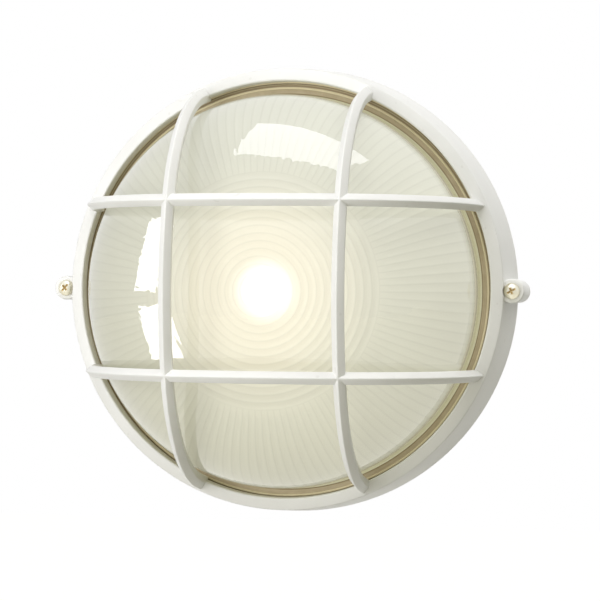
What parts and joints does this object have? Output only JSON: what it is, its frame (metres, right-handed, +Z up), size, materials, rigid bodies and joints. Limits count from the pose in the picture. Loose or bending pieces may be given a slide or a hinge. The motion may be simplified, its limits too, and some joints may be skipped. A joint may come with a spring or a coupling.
{
  "type": "outdoor wall light",
  "caption": "Round outdoor bulkhead wall light: cast wall pan, ribbed glass dome held by a cast guard ring with crossing bars, screw lampholder and lamp inside.",
  "frame": {"origin": "centre of the supply entry in the pan's back face, on the wall plane", "axes": "+Y into the wall, so the light faces -Y; +Z up; +X to the right as seen from the front"},
  "size_m": [0.2618, 0.121, 0.2478],
  "materials": {
    "wall_gasket": "closed-cell foam, matt",
    "base_housing": "white powder coat on die-cast aluminium",
    "guard_frame": "white powder coat on die-cast aluminium",
    "glass_lens": "pressed glass, smooth outside, ribbed and frosted inside",
    "lens_gasket": "tan rubber channel",
    "cover_screws": "zinc-plated steel",
    "holder_bracket": "zinc-plated sheet steel",
    "bracket_screws": "zinc-plated steel",
    "bracket_washers": "zinc-plated steel",
    "holder_body": "glazed porcelain",
    "holder_screws": "zinc-plated steel",
    "screw_shell": "drawn brass",
    "centre_contact": "spring brass",
    "line_plate": "brass",
    "neutral_plate": "nickel-plated brass",
    "line_screw": "brass",
    "neutral_screw": "nickel-plated",
    "ground_screw": "green finish on steel",
    "ground_washer": "brass",
    "bulb": "frosted lamp glass with a metal screw cap"
  },
  "bodies": {
    "root": {"wall_gasket": "wall_gasket", "base_housing": "base_housing", "guard_frame": "guard_frame", "glass_lens": "glass_lens", "lens_gasket": "lens_gasket", "cover_screws": "cover_screws", "holder_bracket": "holder_bracket", "bracket_screws": "bracket_screws", "bracket_washers": "bracket_washers", "holder_body": "holder_body", "holder_screws": "holder_screws", "screw_shell": "screw_shell", "centre_contact": "centre_contact", "line_plate": "line_plate", "neutral_plate": "neutral_plate", "line_screw": "line_screw", "neutral_screw": "neutral_screw", "ground_screw": "ground_screw", "ground_washer": "ground_washer", "bulb": "bulb"}
  },
  "joints": []
}
